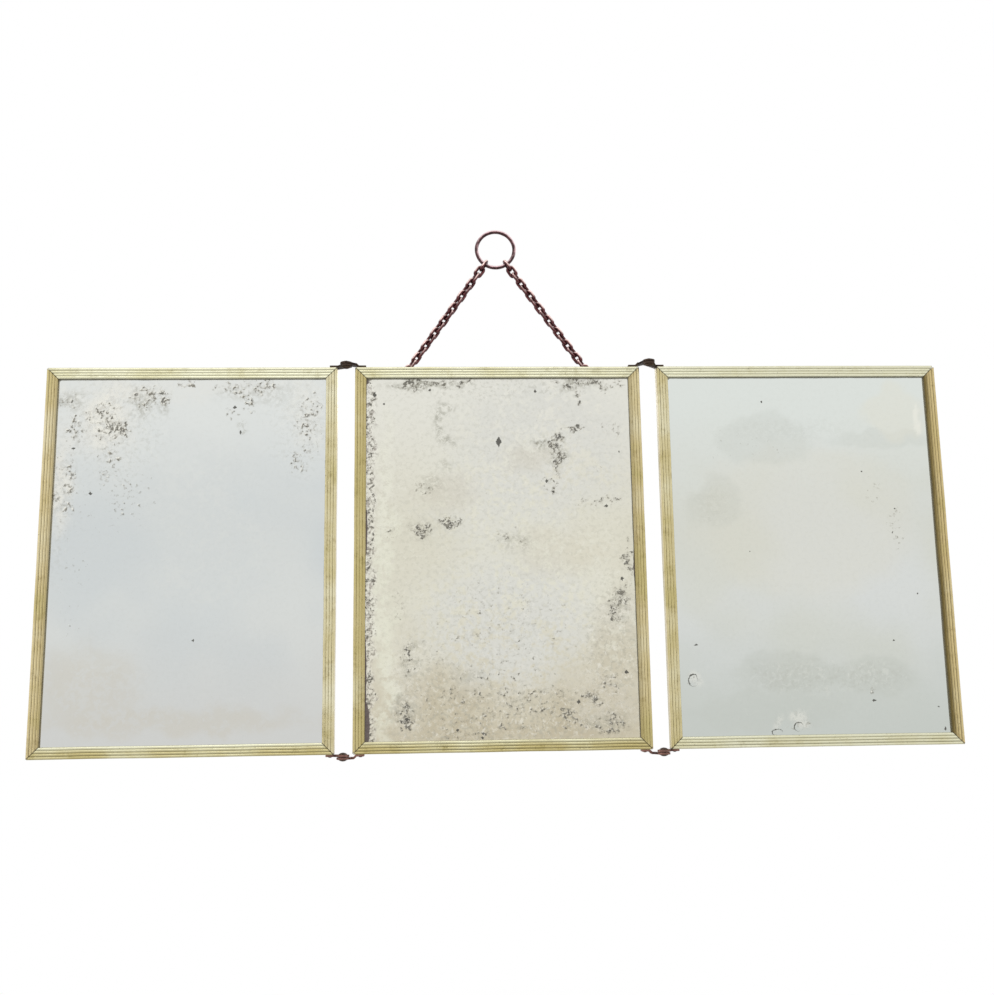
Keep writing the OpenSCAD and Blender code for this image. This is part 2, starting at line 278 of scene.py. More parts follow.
def rail_section():
    """The folded sheet's outline from the outer edge of the face round: inward, depth, groove,
    inside and outside values."""
    pitch = FACE / REEDS
    arc_radius = ((pitch / 2) ** 2 + REED_RISE ** 2) / (2 * REED_RISE)
    arc = math.asin(pitch / 2 / arc_radius)
    outline = []
    for reed in range(REEDS):
        for step in range(ARC_STEPS + (reed == REEDS - 1)):
            turn = 2 * step / ARC_STEPS - 1
            inward = (reed + 0.5) * pitch + arc_radius * math.sin(turn * arc)
            depth = arc_radius * (1 - math.cos(turn * arc))
            at_rim = inward < CUT_EDGE
            in_groove = 0.0 if at_rim else abs(turn) ** 4
            outline.append((inward, depth, in_groove, 0.0, float(at_rim)))
    low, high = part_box("centre_top_rail")
    deep = high.y - low.y
    wall = [(FACE, WALL_END, CUT_EDGE), (FACE - SHEET, WALL_END, CUT_EDGE),
            (FACE - SHEET, FACE_BACK, 0.2 * MM), (SHEET, FACE_BACK, 0.2 * MM),
            (SHEET, deep - SHEET, 0.3 * MM), (LIP, deep - SHEET, CUT_EDGE)]
    web = [(LIP, deep, CUT_EDGE), (0, deep, 0.7 * MM), (0, FACE_BACK, 0.0)]
    bends = eased(wall + web)
    inside_count = sum(1 if corner[2] == 0 else 3 for corner in wall)
    for i, point in enumerate(bends):
        outline.append((point.x, point.y, 0.0, float(i < inside_count),
                        0.0 if i < inside_count else WEB_ROSE))
    return outline


RAIL_SECTION = rail_section()


def placed(name, data):
    """A new object of the scene."""
    thing = bpy.data.objects.new(name, data)
    bpy.context.collection.objects.link(thing)
    return thing


def sweep_rail(name, along, out, worn_ends, material):
    """A mitred rail in the place of the solid of that name. along and out are its directions,
    and worn_ends is how far its outer corner is rubbed back at either end."""
    low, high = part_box(name)
    spread = high - low
    half = abs(spread.dot(along)) / 2
    origin = (low + high) / 2 + out * abs(spread.dot(out)) / 2
    origin.y = low.y
    chance = random.Random(name)
    dents = [(chance.uniform(-0.9, 0.9) * half, chance.uniform(0.1, 0.9) * FACE,
              chance.uniform(0.05, 0.16) * MM, chance.uniform(2.0, 4.5) * MM)
             for _ in range(DENTS)]
    steps = 2 * round(half / RAIL_STEP)
    stations = [2 * i / steps - 1 for i in range(steps + 1)]
    stations[1:1] = [-1 + step / half for step in MITRE_STEPS]
    stations[-1:-1] = [1 - step / half for step in reversed(MITRE_STEPS)]

    bm = bmesh.new()
    layers = [bm.verts.layers.float.new(label) for label in RAIL_MARKS]
    rings = []
    for share in stations:
        ring = []
        for inward, depth, in_groove, is_inside, is_outside in RAIL_SECTION:
            rub = worn_ends[share > 0] * max(0, 1 - inward / WORN_WIDTH) ** 2
            reach = half - inward - rub
            x = share * reach
            to_cut = (1 - abs(share)) * reach
            held = min(1, to_cut / HELD)
            bow = noise.noise(origin * 30 + Vector((x * 28, 0, 0))) * BOW * held
            buckle = noise.noise(origin * 50 + Vector((x * 45, 7, 0))) * BUCKLE * held
            press = 0
            if depth < ON_FACE:
                for dent_x, dent_in, dent_deep, dent_wide in dents:
                    gap = math.hypot(x - dent_x, inward - dent_in) / dent_wide
                    press += dent_deep * math.exp(-4 * gap * gap)
            point = origin + along * x - out * (inward + bow) + BACK * (depth + buckle + press)
            vert = bm.verts.new(point)
            across = inward / FACE if depth < ON_FACE else 0
            values = (in_groove, is_inside, is_outside, to_cut, across)
            for layer, value in zip(layers, values):
                vert[layer] = value
            ring.append(vert)
        rings.append(ring)

    around = [0.0]
    loop = RAIL_SECTION + RAIL_SECTION[:1]
    for here, there in zip(loop, loop[1:]):
        around.append(around[-1] + math.dist(here[:2], there[:2]))
    uv = bm.loops.layers.uv.new("rail")
    count = len(RAIL_SECTION)
    for i, (ring, after) in enumerate(zip(rings, rings[1:])):
        for j in range(count):
            k = (j + 1) % count
            face = bm.faces.new((ring[j], ring[k], after[k], after[j]))
            face.smooth = True
            ends = (stations[i] * half, stations[i + 1] * half)
            spots = ((ends[0], around[j]), (ends[0], around[j + 1]),
                     (ends[1], around[j + 1]), (ends[1], around[j]))
            for corner, spot in zip(face.loops, spots):
                corner[uv].uv = spot
    caps = [bm.faces.new(rings[0]), bm.faces.new(rings[-1])]
    bmesh.ops.triangulate(bm, faces=caps)
    bmesh.ops.recalc_face_normals(bm, faces=bm.faces)

    mesh = bpy.data.meshes.new(name + "_reeded")
    bm.to_mesh(mesh)
    bm.free()
    mesh.set_sharp_from_angle(angle=math.radians(40))
    mesh.materials.append(material)
    return placed(name + "_reeded", mesh)


BODIES = {"left": "left_wing", "centre": "centre_panel", "right": "right_wing"}
STILES = {"left": ("outer", "inner"), "centre": ("left", "right"), "right": ("inner", "outer")}
# How pale each rail is, from rubbing and from painted light that makes the top rails palest,
# how dark its grooves are with grime and painted shade, how rosy its outer edge is with bare brass
# and a painted highlight, and how much darker its inner reed is with grime and painted shade, or
# paler with a painted highlight where below 0
RAIL_WEAR_AND_LIGHT = {
    "left_top_rail": (0.88, 0.30, 0.1, 0.0), "left_bottom_rail": (0.50, 0.42, 0.1, -0.9),
    "left_outer_stile": (0.52, 0.52, 0.9, 0.3), "left_inner_stile": (0.62, 0.60, 0.5, 0.1),
    "centre_top_rail": (0.88, 0.32, 0.1, 0.0), "centre_bottom_rail": (0.40, 0.56, 0.1, -0.6),
    "centre_left_stile": (0.46, 0.52, 0.4, 0.2), "centre_right_stile": (0.52, 0.58, 0.8, 0.4),
    "right_top_rail": (0.95, 0.32, 0.1, 0.0), "right_bottom_rail": (0.78, 0.46, 0.1, -0.8),
    "right_inner_stile": (0.56, 0.58, 0.5, 0.1), "right_outer_stile": (0.30, 0.60, 0.9, 1.0),
}
PLAIN_WEAR = (0.25 * MM, 0.25 * MM)
# The top corner of the right frame has lost its point
WORN_ENDS = {"right_top_rail": (0.25 * MM, 1.3 * MM), "right_outer_stile": (0.25 * MM, 1.3 * MM)}

for panel, body in BODIES.items():
    first, second = STILES[panel]
    sides = {
        f"{panel}_top_rail": (RIGHT, UP), f"{panel}_bottom_rail": (RIGHT, -UP),
        f"{panel}_{first}_stile": (UP, -RIGHT), f"{panel}_{second}_stile": (UP, RIGHT),
    }
    for node, (along, out) in sides.items():
        brass = rail_brass(f"brass of {node}", *RAIL_WEAR_AND_LIGHT[node])
        rail = sweep_rail(node, along, out, WORN_ENDS.get(node, PLAIN_WEAR), brass)
        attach(rail, body)
        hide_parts(node)

# ---- Mirror glasses ----
# Three plates of 3 mm glass, silvered on the back and held in the channel of the rails. The
# silver has aged: grey and buff clouds where it thins, pale flakes where damp has lifted it, and
# dark flecks where it is gone, most of all on the middle glass, each fleck with a painted
# highlight beside it. Light is painted in too: each glass turns lighter at the top and darker at
# the bottom as a painted reflection, and its dark edge at the sides and top is lost silver with
# the painted shadow and reflection of the rails' walls.

FLECK = srgb("#3d3a2e")
DRAB = srgb("#807a69")
PLUM = srgb("#5a4541")
FLAKE = srgb("#f3f1e6")
BUFF = srgb("#d3ccbb")
SCUFF = srgb("#9f9e90")
# Dark edge of the glass by the rails: lost silver, and the painted shadow and reflection of the
# rails' walls
RIM = srgb("#6a6654")
# Half the width and height of the glass that shows, in millimetres
HALF_OPEN = (85.3, 115.3)
CELL = 1.5 * MM
# In millimetres: the heights where the tints of the ends set in, how gently they do and how
# gently the mottled strip ends, and how far the outlines of spots and curls are pulled about
TOP_TINT = 10
BOTTOM_TINT = -20
TINT_FADE = 100
STRIP_FADE = 1.5
TEAR = 2.2
# Without a seed the noise that moves the marks would differ from run to run
DRIFT_SEED = 274
noise.seed_set(DRIFT_SEED)


def centre_of(node):
    low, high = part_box(node)
    return (low + high) / 2


def drifted(places, scale, reach):
    """Places in millimetres, each moved by noise, by about the reach at most."""
    moved = []
    for x, z in places:
        push = Vector((0, 0, 0))
        for octave in (1, 2, 4):
            push += noise.noise_vector(Vector((x, z, 5)) * scale * octave) / octave
        moved.append((x + push.x * reach, z + push.y * reach))
    return numpy.array(moved)


def smooth(share):
    """Goes gently from 0 to 1."""
    share = numpy.clip(share, 0, 1)
    return share * share * (3 - 2 * share)


def oval(places, x, z, wide, tall, fade=0.8):
    """1 in the middle of an oval patch and 0 outside it, at each place."""
    reach = numpy.hypot((places[:, 0] - x) / wide, (places[:, 1] - z) / tall)
    return smooth((0.8 + fade / 2 - reach) / fade)


def strongest(places, patches):
    """Oval patches (x, z, wide, tall, strength) as one mask."""
    cover = numpy.zeros(len(places))
    for *spot, strength in patches:
        cover = numpy.maximum(cover, oval(places, *spot) * strength)
    return cover


def layered(below, mask, shade):
    """Colours with a shade laid over them where the mask is 1."""
    mask = mask[:, None]
    return below * (1 - mask) + numpy.array(shade) * mask


def glass_plate(node, tints, ends, clouds, fade, rough, lifted, lost, scuffs, rims, crept=(),
                marbled=0):
    """A plate with its ageing and painted reflection on a fine grid. Places are in millimetres from
    the middle of the glass, x right and z up. tints are the two colours of the whole silver, and
    ends those it turns to at the top and the bottom, a painted reflection that is lighter above
    and darker below. clouds are (x, z, wide, tall, colour, strength), with edges as wide as fade,
    and the other lists (x, z, wide, tall, strength). rims are the widths of the dark edge at the
    left, right and top, which is lost silver with the painted shadow and reflection of the rails'
    walls, crept is where the backing has gone from an edge, and marbled is the width of the
    mottled strip down the left side."""
    low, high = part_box(node)
    middle = centre_of(node)
    columns = round((high.x - low.x) / CELL)
    rows = round((high.z - low.z) / CELL)
    across = [low.x + (high.x - low.x) * i / columns for i in range(columns + 1)]
    upward = [low.z + (high.z - low.z) * i / rows for i in range(rows + 1)]
    bm = bmesh.new()
    front = [[bm.verts.new((x, low.y, z)) for x in across] for z in upward]
    back = [bm.verts.new((x, high.y, z)) for x, z in (
        (low.x, low.z), (high.x, low.z), (high.x, high.z), (low.x, high.z))]
    for lower, upper in zip(front, front[1:]):
        for i in range(columns):
            bm.faces.new((lower[i], lower[i + 1], upper[i + 1], upper[i]))
    bm.faces.new(back)
    bm.faces.new(front[0] + [back[1], back[0]])
    bm.faces.new(front[-1] + [back[2], back[3]])
    bm.faces.new([row[0] for row in front] + [back[3], back[0]])
    bm.faces.new([row[-1] for row in front] + [back[2], back[1]])
    bmesh.ops.recalc_face_normals(bm, faces=bm.faces)
    mesh = bpy.data.meshes.new(node + "_silvered")
    bm.to_mesh(mesh)
    bm.free()

    places = numpy.array([((v.co.x - middle.x) / MM, (v.co.z - middle.z) / MM)
                          for v in mesh.vertices])
    # The places as broad forms see them, with a slow drift, and as torn ones do, with a tight one
    loose = drifted(places, 0.05, 7)
    torn = drifted(places, 0.12, 4)
    height = loose[:, 1]
    mixed = drifted(places, 0.014, 1)[:, 0] - places[:, 0] + 0.5
    silver_and_reflection = layered(numpy.array([tints[0]] * len(places)), smooth(mixed), tints[1])
    # Painted reflection: a lighter tint towards the top of the glass and a darker one towards the
    # bottom
    silver_and_reflection = layered(silver_and_reflection, smooth((height - TOP_TINT) / TINT_FADE), ends[0])
    silver_and_reflection = layered(silver_and_reflection, smooth((BOTTOM_TINT - height) / TINT_FADE), ends[1])
    clouded = silver_and_reflection
    for *spot, shade, strength in clouds:
        clouded = layered(clouded, oval(loose, *spot, fade) * strength, shade)
    edge = numpy.minimum(places[:, 0] + HALF_OPEN[0] - rims[0],
                         HALF_OPEN[0] - places[:, 0] - rims[1])
    edge = numpy.minimum(edge, HALF_OPEN[1] - places[:, 1] - rims[2])
    strip = torn[:, 0] + HALF_OPEN[0]
    for label, values in {
            "lifted": strongest(loose, lifted), "lost": strongest(torn, lost),
            "scuffed": strongest(torn, scuffs), "rough": strongest(loose, rough),
            "crept": strongest(places, crept), "edge": edge,
            "strip": smooth((marbled - strip) / STRIP_FADE + 1) * (marbled > 0)}.items():
        mesh.attributes.new(label, "FLOAT", "POINT").data.foreach_set("value", values)
    for label, colours in {"silver_and_reflection": silver_and_reflection, "clouded": clouded}.items():
        mesh.attributes.new(label, "FLOAT_COLOR", "POINT").data.foreach_set(
            "color", colours.ravel())
    return placed(node + "_silvered", mesh)


def lost_silver(place, density):
    """Short curled marks, more and longer where the density is higher: the marks themselves, and
    the wider faint stains they stand in."""
    line = (place.grain(0.34, 3, 0.55, 0.9) - 0.5).size() - (place.grain(0.17, 2) - 0.5) * 0.35
    gate = density + (place.grain(0.42, 3, 0.6) - 0.5) * 1.3 - 0.53
    speck = place.node("ShaderNodeTexVoronoi", {"voronoi_dimensions": "2D"}, {
        "Vector": place, "Scale": 0.42}, "Distance")
    dark = line.ease(0.085, 0.03).most(speck.ease(0.28, 0.15)) * gate.ease(0.0, 0.07)
    faint = line.ease(0.20, 0.05) * (gate + 0.16).ease(0.0, 0.20)
    return dark, faint


def from_middle(torn_place, x, z, wide, tall):
    """The place seen from a spot's middle, its half width and half height as 1."""
    x += TEAR / 2
    z += TEAR / 2
    return torn_place.scaled((1 / wide, 1 / tall, 0), (-x / wide, -z / tall, 0))


def old_silver(name, spots, curls, painted_mark_highlight, patchy):
    """Aged silver behind glass, its large forms read from the plate and its fine ones drawn
    here. Spots and curls, which are thin broken rings, are (x, z, wide, tall) in millimetres,
    raised is how strong the painted highlight beside each mark is, and patchy how broken the
    clouds are."""
    material, shader, start = new_finish(name)
    across, up = start.on_piece().split("X", "Z")
    flat = start.joined(X=across / MM, Y=up / MM)
    lifted, lost, scuffed, rough, crept, strip, edge = [
        start.marked(label)
        for label in ("lifted", "lost", "scuffed", "rough", "crept", "strip", "edge")]
    silver_and_reflection, clouded = [start.marked(label, "Color") for label in ("silver_and_reflection", "clouded")]
    misty = flat.grain(0.05, 5, 0.62, 0.6)
    mottled = flat.grain(0.22, 4, 0.65, 0.4)
    wisps = flat.grain(0.30, 5, 0.72, 0.8)

    broken = (misty * 0.4 + mottled * 0.6).ease(0.40, 0.53)
    colour = (broken * patchy + (1 - patchy)).tint(silver_and_reflection, clouded)
    pitted = flat.grain(0.36, 4, 0.66)
    colour = (pitted.ease(0.48, 0.62) * rough * 0.42).tint(colour, SCUFF)
    colour = (wisps.ease(0.48, 0.34) * rough * 0.45).tint(colour, FLAKE)
    shed = lifted * mottled.ease(0.38, 0.56)
    colour = (shed * 0.75).tint(colour, FLAKE)
    colour = (lifted * mottled.ease(0.47, 0.36) * 0.5).tint(colour, BUFF)
    colour = (scuffed * wisps.ease(0.42, 0.58) * 0.72).tint(colour, SCUFF)
    colour = (strip * 0.35).tint(colour, FLAKE)
    colour = (strip * wisps.ease(0.50, 0.60) * 0.55).tint(colour, PLUM)
    gap = (crept + wisps * 0.6 - 0.3).ease(0.42, 0.52)

    cluster = flat.grain(0.11, 3, 0.6).ease(0.36, 0.62)
    density = (lost * (cluster * 0.5 + 0.6)).most(strip * 0.47) + 0.03
    ragged_place = flat.vector("ADD", flat, flat.grain(0.9, 2, 0.6, out="Color"))
    marks, stains = lost_silver(ragged_place, density)
    # Painted highlight: the same marks moved up and to the left, laid on in white beside each dark
    # one
    lit, _ = lost_silver(ragged_place.scaled((1, 1, 1), (0.75, -0.7, 0)), density)
    tone = wisps.ease(0.40, 0.60).tint(FLECK, DRAB)
    colour = (stains * 0.42).tint(colour, DRAB)
    colour = (lit * painted_mark_highlight).tint(colour, FLAKE)
    colour = (marks * 0.85).tint(colour, tone)
    holes = gap
    torn_place = flat.vector("MULTIPLY_ADD", flat.grain(0.55, 3, 0.7, out="Color"),
                             (TEAR, TEAR, 0), flat)
    for spot in spots:
        local = from_middle(torn_place, *spot)
        reach = local.vector("DOT_PRODUCT", local.vector("ABSOLUTE", local), (1, 1, 0),
                             out="Value")
        holes = holes.most(reach.ease(1.3, 1.0))
    for curl in curls:
        local = from_middle(torn_place, *curl)
        reach = local.vector("LENGTH", local, out="Value")
        side = local.vector("DOT_PRODUCT", local, (0.05, -0.05, 0), out="Value")
        holes = holes.most(((reach - 1).size() + side).ease(0.10, 0.0))
    colour = (holes * 0.92).tint(colour, gap.tint(FLECK, PLUM))
    # Dark rim along the sides and top: lost silver with the painted shadow and reflection of the
    # rails' walls
    rim = (edge + (misty * 0.8 - 0.4)).ease(0.3, -0.25)
    colour = (rim * 0.72).tint(colour, RIM)

    gone = marks.most(rim).most(holes)
    feed(shader, {
        "Base Color": colour,
        "Metallic": 1 - gone * 0.85 - lifted * 0.25,
        "Roughness": 0.05 + misty * 0.06 + lifted * 0.2 + gone * 0.4,
        "Coat Weight": 1.0,
        "Coat Roughness": 0.02,
        "Normal": (flat.grain(0.02, 2) * 0.7 + mottled * 0.02).relief(0.5 * MM, 0.25),
    })
    return material


GREY = srgb("#d4d7d4")
COOL = srgb("#ccd1d1")
SMOKE = srgb("#b8bcb3")
BEIGE = srgb("#c2b69b")
TAN = srgb("#b8ad92")
PEARL = srgb("#e3e3d0")
CHALK = srgb("#e2e1da")
IVORY = srgb("#dedccc")
WARM = srgb("#d8d5c4")
STEEL = srgb("#d7d7d0")

# In each entry ends are a painted reflection and rims a dark edge of lost silver with painted
# shadow; the rest is the silver's ageing
AGEING = {
    "left": {
        "tints": (GREY, COOL), "ends": (srgb("#dde0dd"), srgb("#cccdca")),
        "fade": 0.8,
        "clouds": [(-60, -80, 40, 26, BEIGE, 0.25), (0, -102, 90, 9, BEIGE, 0.25),
                   (10, 10, 60, 70, COOL, 0.5), (-54, 88, 26, 30, CHALK, 0.6),
                   (0, 110, 90, 12, CHALK, 0.35), (-82, 50, 12, 40, CHALK, 0.6)],
        "lifted": [(-55, 89, 17, 21, 1.0), (-40, 106, 24, 9, 0.5), (74, 90, 12, 26, 0.4),
                   (-82, 48, 8, 24, 0.6), (-78, 104, 8, 8, 0.4)],
        "lost": [(-55, 89, 18, 20, 0.44), (-46, 82, 10, 14, 0.56), (-28, 103, 20, 13, 0.44),
                 (-2, 112, 8, 5, 0.56), (-18, 104, 4, 8, 0.66),
                 (34, 110, 30, 8, 0.48), (-79, 102, 9, 9, 0.50),
                 (-73, 82, 9, 16, 0.48), (76, 86, 13, 30, 0.42), (68, 60, 10, 10, 0.42),
                 (-79, 45, 12, 32, 0.46), (-52, 60, 10, 22, 0.40), (-36, 40, 24, 26, 0.32),
                 (36, 98, 9, 8, 0.40), (24, 92, 10, 6, 0.34), (-60, 30, 30, 30, 0.24),
                 (-70, -20, 16, 60, 0.22)],
        "scuffs": [(-33, 98, 8, 12, 0.7), (-18, 96, 6, 6, 0.6), (32, 83, 4, 4, 0.6),
                   (-78, 102, 10, 8, 0.6), (40, 106, 30, 8, 0.4)],
        "rough": [(-50, 85, 45, 45, 0.45), (70, 85, 25, 45, 0.35), (-80, 40, 12, 60, 0.4),
                  (0, 0, 140, 160, 0.08)],
        "rims": (0.1, 0.1, 0.6),
        "spots": [(27, 96.5, 1.0, 0.9), (-62, 41, 1.2, 0.8), (5, -52, 0.8, 0.7),
                  (31, 80, 0.9, 1.2), (-74, 70, 1.3, 0.7)],
    },
    "centre": {
        "tints": (IVORY, WARM), "ends": (srgb("#e1e0d6"), srgb("#c9c1aa")),
        "fade": 0.8,
        "clouds": [(30, 70, 70, 60, STEEL, 0.8), (6, -42, 66, 52, STEEL, 0.9),
                   (-10, 30, 50, 30, STEEL, 0.5), (40, 2, 40, 20, BEIGE, 0.22),
                   (20, 62, 20, 12, BEIGE, 0.25), (-34, 40, 24, 16, BEIGE, 0.25),
                   (-36, -92, 32, 22, TAN, 0.5), (56, -98, 36, 22, TAN, 0.6),
                   (74, -60, 18, 50, TAN, 0.4), (0, -112, 90, 9, TAN, 0.5),
                   (-73, -30, 7, 130, PEARL, 0.7)],
        "rough": [(0, -102, 100, 26, 0.95), (70, -60, 26, 60, 0.9), (-50, -85, 26, 40, 0.9),
                  (0, 0, 140, 160, 0.4), (0, -40, 60, 40, 0.5), (0, 108, 90, 10, 0.7)],
        "lifted": [(-74, 51.8, 10, 60, 0.3), (38.3, 62.8, 16, 20, 0.3), (-60.2, -82, 16, 30, 0.35),
                   (61.9, -92, 26, 22, 0.4), (73.8, -36, 12, 14, 0.5)],
        "lost": [(-49.4, 111, 24, 5, 0.66), (-20.8, 113, 12, 4, 0.46), (54.1, 112, 16, 6, 0.66),
                 (51.1, 101.4, 4, 8, 0.62), (72.8, 112, 12, 7, 0.52), (34.4, 112, 8, 4, 0.44),
                 (38.3, 64.8, 5, 19, 0.74), (49.1, 80.8, 10, 2.5, 0.80), (27.5, 71.8, 9, 5, 0.42),
                 (32.4, 43.8, 6, 8, 0.46), (64.9, 32.8, 22, 3.0, 0.54), (73.8, 82.8, 10, 10, 0.36),
                 (61.9, 54.8, 12, 5, 0.36), (-48.4, 42.8, 9, 7, 0.50), (-49.4, 15, 13, 9, 0.53),
                 (-33.6, 20, 10, 5, 0.64), (-72, 13, 8, 8, 0.36), (6.8, 11, 18, 7, 0.36),
                 (81.6, -7, 5, 18, 0.58), (74.7, -34, 12, 16, 0.54), (-59.2, -66, 6, 18, 0.54),
                 (-60.2, -101, 9, 11, 0.60), (-64.1, -32, 8, 14, 0.40), (-20.8, -77, 18, 8, 0.36),
                 (-22.8, -110, 40, 7, 0.40), (67.9, -81, 10, 10, 0.46), (56, -91, 10, 9, 0.48),
                 (40.3, -100, 9, 10, 0.50), (63.9, -107, 20, 8, 0.51), (-1.1, -52, 75, 60, 0.30),
                 (-1.1, -95, 85, 26, 0.38), (18.6, 48.8, 70, 60, 0.18)],
        "scuffs": [(-34.6, 95.4, 8, 4, 0.9), (-38.5, 83.8, 3.6, 13, 1.0),
                   (-32.6, 72.8, 8, 3.6, 0.9), (27.5, 71.8, 8, 6, 0.9),
                   (-34.6, 56.8, 4, 4, 0.5), (8.8, 8, 16, 6, 0.5),
                   (-50.4, 111, 26, 4, 1.0), (-22.8, 112, 10, 3, 0.8), (53.1, 112, 14, 5, 1.0),
                   (-43.5, 44.8, 8, 7, 0.5), (38.3, 62.8, 7, 13, 0.6), (-49.4, 15, 10, 8, 0.5),
                   (-58.2, -68, 7, 16, 0.6), (-61.2, -95, 9, 11, 0.7), (63.9, -106, 18, 7, 0.6),
                   (-20.8, -76, 12, 6, 0.5), (74.7, -34, 8, 12, 0.6)],
        "crept": [(-87, -106, 6.0, 22, 1.0), (-86.5, -75, 2.4, 40, 1.0), (-86, 114, 3, 4, 0.9),
                  (-85.6, 15, 1.4, 24, 0.9), (86, -8, 1.6, 22, 0.9)],
        "marbled": 5.2, "rims": (0.0, 0.4, 0.7),
        "spots": [(-0.1, 72.8, 1.7, 3.1), (-79.9, 104.4, 1.0, 1.8), (-74, 98.4, 0.7, 0.8),
                  (24.1, 106.4, 1.1, 1.0), (-44.4, 107.4, 0.9, 0.8), (30.4, 46.8, 0.9, 1.0),
                  (68.3, 30.4, 1.2, 0.8), (77.7, 65.8, 0.5, 0.6), (34.4, 39.8, 0.7, 0.8),
                  (77, -16.5, 1.1, 1.3), (77.7, -75, 1.3, 1.1), (47.2, -93, 1.1, 1.4),
                  (-59.2, -102, 1.5, 1.1), (-28.2, -109, 0.9, 0.9), (-12.9, -114, 1.0, 0.8)],
    },
    "right": {
        "tints": (GREY, srgb("#d1d3ca")), "ends": (srgb("#dadfda"), srgb("#c2c7c1")),
        "fade": 0.3,
        "clouds": [(0, 20, 90, 60, WARM, 0.35), (-22, 74, 40, 20, SMOKE, 0.2),
                   (-58, 30, 22, 22, SMOKE, 0.2), (52, 74, 44, 9, SMOKE, 0.2),
                   (-16, -76, 38, 15, SMOKE, 0.34), (37, -80, 38, 16, SMOKE, 0.26),
                   (-30, -100, 60, 14, SMOKE, 0.2), (66, 90, 24, 22, IVORY, 0.4),
                   (78, 88, 2.6, 13, FLAKE, 0.4)],
        "lifted": [(-78, -80, 5, 5, 0.5), (-12, -106.5, 6, 7, 0.6), (-26, -110, 5, 4, 0.4)],
        "lost": [(47, 40, 10, 16, 0.32), (58, 14, 9, 22, 0.30), (-10, -109, 14, 4, 0.34),
                 (36, -88, 3, 6, 0.36), (-79, -80, 5, 6, 0.3), (-40, 70, 40, 14, 0.22)],
        "scuffs": [(-60, 32, 12, 12, 0.14), (-20, -80, 30, 10, 0.16), (40, -80, 24, 8, 0.16),
                   (-10, 80, 50, 8, 0.1)],
        "rough": [(0, 0, 140, 160, 0.1), (-60, 20, 16, 8, 0.2), (10, -80, 60, 14, 0.35)],
        "rims": (0.2, 0.4, 0.6),
        "spots": [(70.5, -28, 0.6, 0.6), (52.8, -57.5, 0.8, 0.6), (39.7, 51.8, 0.7, 0.6),
                  (81.4, -113, 0.8, 1.4), (-23.6, 98.8, 0.5, 0.9), (59.7, 27, 0.6, 0.5),
                  (-36.7, 0, 0.6, 0.5), (57.1, 11.8, 0.5, 0.8), (37.4, -94.8, 1.3, 0.8),
                  (78.2, -99.2, 0.6, 0.6), (-74, -58.7, 1.2, 0.6)],
        "curls": [(-11.5, -110.4, 2.9, 2.8), (-25.2, -113.4, 3.4, 1.8), (-76.6, -80.8, 3.0, 3.7)],
    },
}
# How strong the painted highlight beside each mark is, and how broken the clouds are
SILVERING = {"left": (0.75, 0.6), "centre": (0.35, 1.0), "right": (0.6, 0.12)}
for panel, body in BODIES.items():
    node = f"{panel}_mirror"
    ageing = AGEING[panel]
    middle = centre_of(node) / MM
    spots, curls = [[(x + middle.x, z + middle.z, *size) for x, z, *size in ageing.pop(kind, [])]
                    for kind in ("spots", "curls")]
    plate = glass_plate(node, **ageing)
    plate.data.materials.append(
        old_silver(f"silver of the {panel} glass", spots, curls, *SILVERING[panel]))
    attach(plate, body)
    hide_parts(node)

# ---- Backing boards ----
# A thin brown board, pressed from wood fibre and cut to the plate's size, lies behind each
# glass and keeps its silver from being scratched. The rails' rear lips hold it.


def pressed_board():
    """Brown fibre board with darker stains."""
    material, shader, start = new_finish("pressed backing board")
    place = start.on_piece()
    fibre = place.scaled((260, 260, 1400)).grain(1, 5, 0.7)
    stain = place.grain(14, 5, 0.6)
    colour = fibre.ease(0.3, 0.7).tint(srgb("#7d6145"), srgb("#9b7d59"))
    colour = (stain.ease(0.45, 0.75) * 0.55).tint(colour, srgb("#59422e"))
    feed(shader, {
        "Base Color": colour,
        "Roughness": 0.72 + fibre * 0.2,
        "Normal": fibre.relief(0.15 * MM, 0.7),
    })
    return material


def coat(node, material):
    """Gives its finish to a solid that is shown as it is."""
    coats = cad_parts[node].data.materials
    coats.clear()
    coats.append(material)


board_finish = pressed_board()
for panel in BODIES:
    coat(f"{panel}_backing_board", board_finish)

# ---- Hinge straps ----
# Flat brass straps, gone dark brown. Each hinge has a wing strap and a centre strap that steps
# up over it. Their edges are eased by handling, which also shows paler metal on the corners.

STRAP_EASE = 0.22 * MM


def dark_patina(name, deep, warm, bare, worn):
    """Brass under a dark skin that is rubbed through in places, more so with worn."""
    material, shader, start = new_finish(name)
    place = start.on_piece()
    skin = place.grain(260, 5, 0.62)
    scuff = place.grain(1100, 3, 0.6)
    colour = skin.ease(0.35, 0.68).tint(deep, warm)
    facing = start.node("ShaderNodeNewGeometry", out="Pointiness").ease(0.505, 0.56)
    shown = (facing * 0.5 + (skin * scuff).ease(0.34 - worn * 0.08, 0.46)).least(1.0)
    feed(shader, {
        "Base Color": (shown * worn).tint(colour, bare),
        "Metallic": 0.75 + shown * 0.25,
        "Roughness": (0.52 - shown * 0.2) + scuff * 0.12,
        "Normal": (skin * 0.7 + scuff * 0.3).relief(0.06 * MM, 0.7),
    })
    return material


def copy_mesh(node):
    """A merged copy of a solid's mesh, with its flat faces whole."""
    bm = bmesh.new()
    bm.from_mesh(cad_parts[node].data)
    bmesh.ops.remove_doubles(bm, verts=bm.verts, dist=0.001 * MM)
    bmesh.ops.dissolve_limit(bm, angle_limit=math.radians(1), verts=bm.verts, edges=bm.edges)
    return bm


